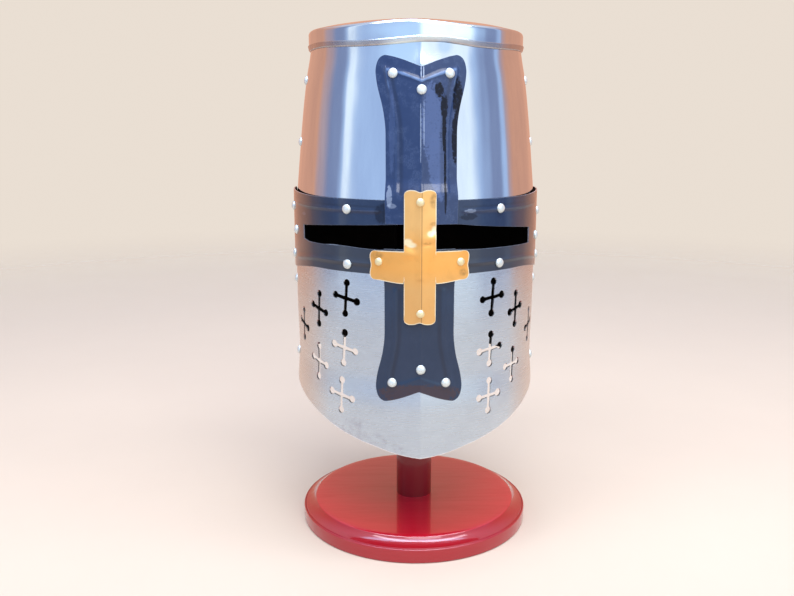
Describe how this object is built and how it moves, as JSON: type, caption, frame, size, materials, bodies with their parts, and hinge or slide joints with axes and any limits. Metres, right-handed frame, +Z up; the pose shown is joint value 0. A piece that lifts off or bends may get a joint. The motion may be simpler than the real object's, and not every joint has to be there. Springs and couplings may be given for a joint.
{
  "type": "templar helmet on display stand",
  "caption": "Riveted sheet-steel great helm with a domed crown, eye slit, pointed chin, cross-shaped breaths, black cross band and brass nasal cross, on a round turned wooden stand.",
  "frame": {"origin": "centre of the stand foot's underside", "axes": "+Z up; the helm's face looks along -Y, so +X is the viewer's right from the front"},
  "size_m": [0.2246, 0.2403, 0.4637],
  "materials": {
    "polished_steel": "polished mild steel sheet with faint upright grain",
    "satin_steel": "satin mild steel sheet with faint stains",
    "blue_black_paint": "glossy blue-black paint on steel sheet",
    "brass_sheet": "warm satin brass sheet with small dents",
    "brass_rivet": "satin brass",
    "rivet_steel": "pale hammered steel",
    "red_lacquer": "deep red gloss lacquer on turned wood"
  },
  "bodies": {
    "root": {"crown_cap": "polished_steel", "skull_front": "polished_steel", "skull_back": "polished_steel", "face_plate": "satin_steel", "neck_plate": "satin_steel", "eye_band": "blue_black_paint", "upper_bar": "blue_black_paint", "lower_bar": "blue_black_paint", "nasal_cross": "brass_sheet", "rivet_upper_left": "rivet_steel", "rivet_upper_right": "rivet_steel", "rivet_upper_middle": "rivet_steel", "rivet_lower_left": "rivet_steel", "rivet_lower_right": "rivet_steel", "rivet_lower_middle": "rivet_steel", "rivet_band_upper_left": "rivet_steel", "rivet_band_upper_right": "rivet_steel", "rivet_band_lower_left": "rivet_steel", "rivet_band_lower_right": "rivet_steel", "rivet_end_top_left": "rivet_steel", "rivet_end_top_right": "rivet_steel", "rivet_end_middle_left": "rivet_steel", "rivet_end_middle_right": "rivet_steel", "rivet_end_bottom_left": "rivet_steel", "rivet_end_bottom_right": "rivet_steel", "rivet_skull_high_left": "rivet_steel", "rivet_skull_high_right": "rivet_steel", "rivet_skull_low_left": "rivet_steel", "rivet_skull_low_right": "rivet_steel", "rivet_face_high_left": "rivet_steel", "rivet_face_high_right": "rivet_steel", "rivet_face_low_left": "rivet_steel", "rivet_face_low_right": "rivet_steel", "rivet_back_left": "rivet_steel", "rivet_back_middle": "rivet_steel", "rivet_back_right": "rivet_steel", "rivet_brass_top": "brass_rivet", "rivet_brass_bottom": "brass_rivet", "rivet_brass_left": "brass_rivet", "rivet_brass_right": "brass_rivet", "stand_base": "red_lacquer", "stand_column": "red_lacquer", "stand_head": "red_lacquer"}
  },
  "joints": []
}
